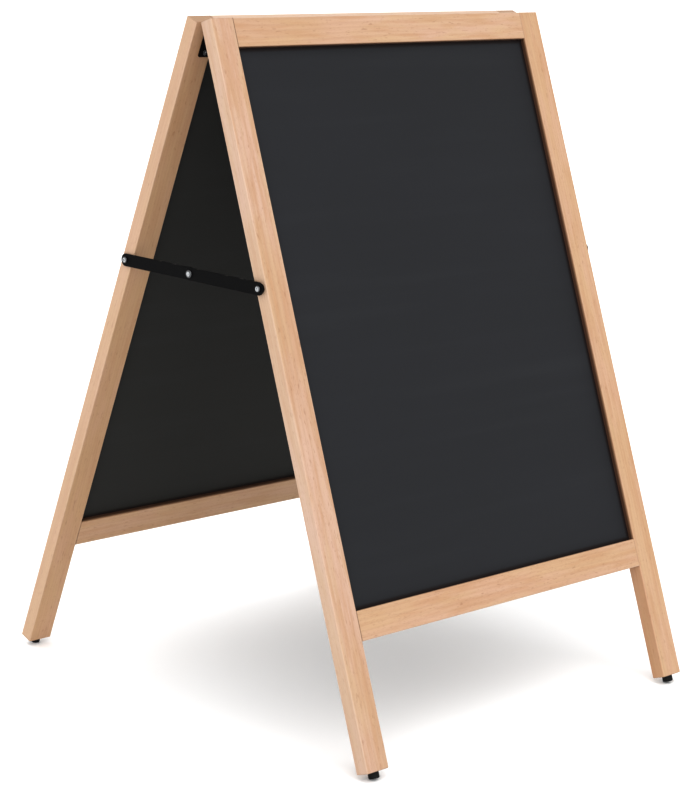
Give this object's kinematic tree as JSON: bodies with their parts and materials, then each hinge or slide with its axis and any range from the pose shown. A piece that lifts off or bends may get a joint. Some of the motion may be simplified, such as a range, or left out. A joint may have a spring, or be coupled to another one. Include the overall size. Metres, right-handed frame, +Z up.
{
  "type": "sandwich board",
  "caption": "Folding A-frame pavement sign: two hinged timber frames with recessed black chalk panels, steel side stays and rubber feet.",
  "frame": {"origin": "on the floor under the middle of the open board", "axes": "+X along the width, to the right when facing the front frame; +Y from the front frame to the rear one; +Z up"},
  "size_m": [0.5634, 0.6212, 0.8103],
  "materials": {
    "beech": "clear satin lacquer on light beech",
    "dowel_wood": "raw turned beech",
    "chalkboard": "hardboard with matt black chalkboard paint on both faces",
    "black_steel": "satin black enamel on steel strip",
    "bright_zinc": "bright zinc plate",
    "rubber": "moulded matt rubber"
  },
  "bodies": {
    "front_frame": {"front_left_stile": "beech", "front_right_stile": "beech", "front_top_rail": "beech", "front_top_rail_dowels": "dowel_wood", "front_bottom_rail": "beech", "front_bottom_rail_dowels": "dowel_wood", "front_chalk_panel": "chalkboard", "left_hinge_front_leaf": "black_steel", "front_left_foot": "rubber", "right_hinge_front_leaf": "black_steel", "front_right_foot": "rubber", "front_hinge_screws": "bright_zinc", "front_foot_screws": "bright_zinc", "front_stay_screws": "bright_zinc", "left_hinge_pin": "black_steel", "right_hinge_pin": "black_steel", "front_stay_spacer": "black_steel", "front_stay_washer": "black_steel"},
    "rear_frame": {"rear_left_stile": "beech", "rear_right_stile": "beech", "rear_top_rail": "beech", "rear_top_rail_dowels": "dowel_wood", "rear_bottom_rail": "beech", "rear_bottom_rail_dowels": "dowel_wood", "rear_chalk_panel": "chalkboard", "left_hinge_rear_leaf": "black_steel", "rear_left_foot": "rubber", "right_hinge_rear_leaf": "black_steel", "rear_right_foot": "rubber", "rear_hinge_screws": "bright_zinc", "rear_foot_screws": "bright_zinc", "rear_stay_screws": "bright_zinc", "rear_stay_spacer": "black_steel", "rear_stay_washer": "black_steel"},
    "left_front_link": {"left_stay_front_link": "black_steel", "left_stay_rivet_head": "bright_zinc"},
    "left_rear_link": {"left_stay_rear_link": "black_steel", "left_stay_rivet_tail": "bright_zinc"},
    "right_front_link": {"right_stay_front_link": "black_steel", "right_stay_rivet_tail": "bright_zinc"},
    "right_rear_link": {"right_stay_rivet_head": "bright_zinc", "right_stay_rear_link": "black_steel"}
  },
  "joints": [
    {"name": "fold", "type": "hinge", "parent": "front_frame", "child": "rear_frame", "pos_m": [0, 0, 0.80331], "axis": [-1, 0, 0], "range_deg": [0, 40]},
    {"name": "left_front_link_turn", "type": "hinge", "parent": "front_frame", "child": "left_front_link", "pos_m": [-0.2787, -0.11675, 0.5191], "axis": [1, 0, 0], "range_deg": [0, 63.86]},
    {"name": "left_rear_link_turn", "type": "hinge", "parent": "rear_frame", "child": "left_rear_link", "pos_m": [-0.2768, 0.11675, 0.5191], "axis": [-1, 0, 0], "range_deg": [0, 63.86]},
    {"name": "right_front_link_turn", "type": "hinge", "parent": "front_frame", "child": "right_front_link", "pos_m": [0.2768, -0.11675, 0.5191], "axis": [1, 0, 0], "range_deg": [0, 63.86]},
    {"name": "right_rear_link_turn", "type": "hinge", "parent": "rear_frame", "child": "right_rear_link", "pos_m": [0.2787, 0.11675, 0.5191], "axis": [-1, 0, 0], "range_deg": [0, 63.86]}
  ],
  "couplings": [
    {"joint": "left_front_link_turn", "follows": "fold", "ratio": 1.5963},
    {"joint": "left_rear_link_turn", "follows": "fold", "ratio": 1.5963},
    {"joint": "right_front_link_turn", "follows": "fold", "ratio": 1.5963},
    {"joint": "right_rear_link_turn", "follows": "fold", "ratio": 1.5963}
  ]
}
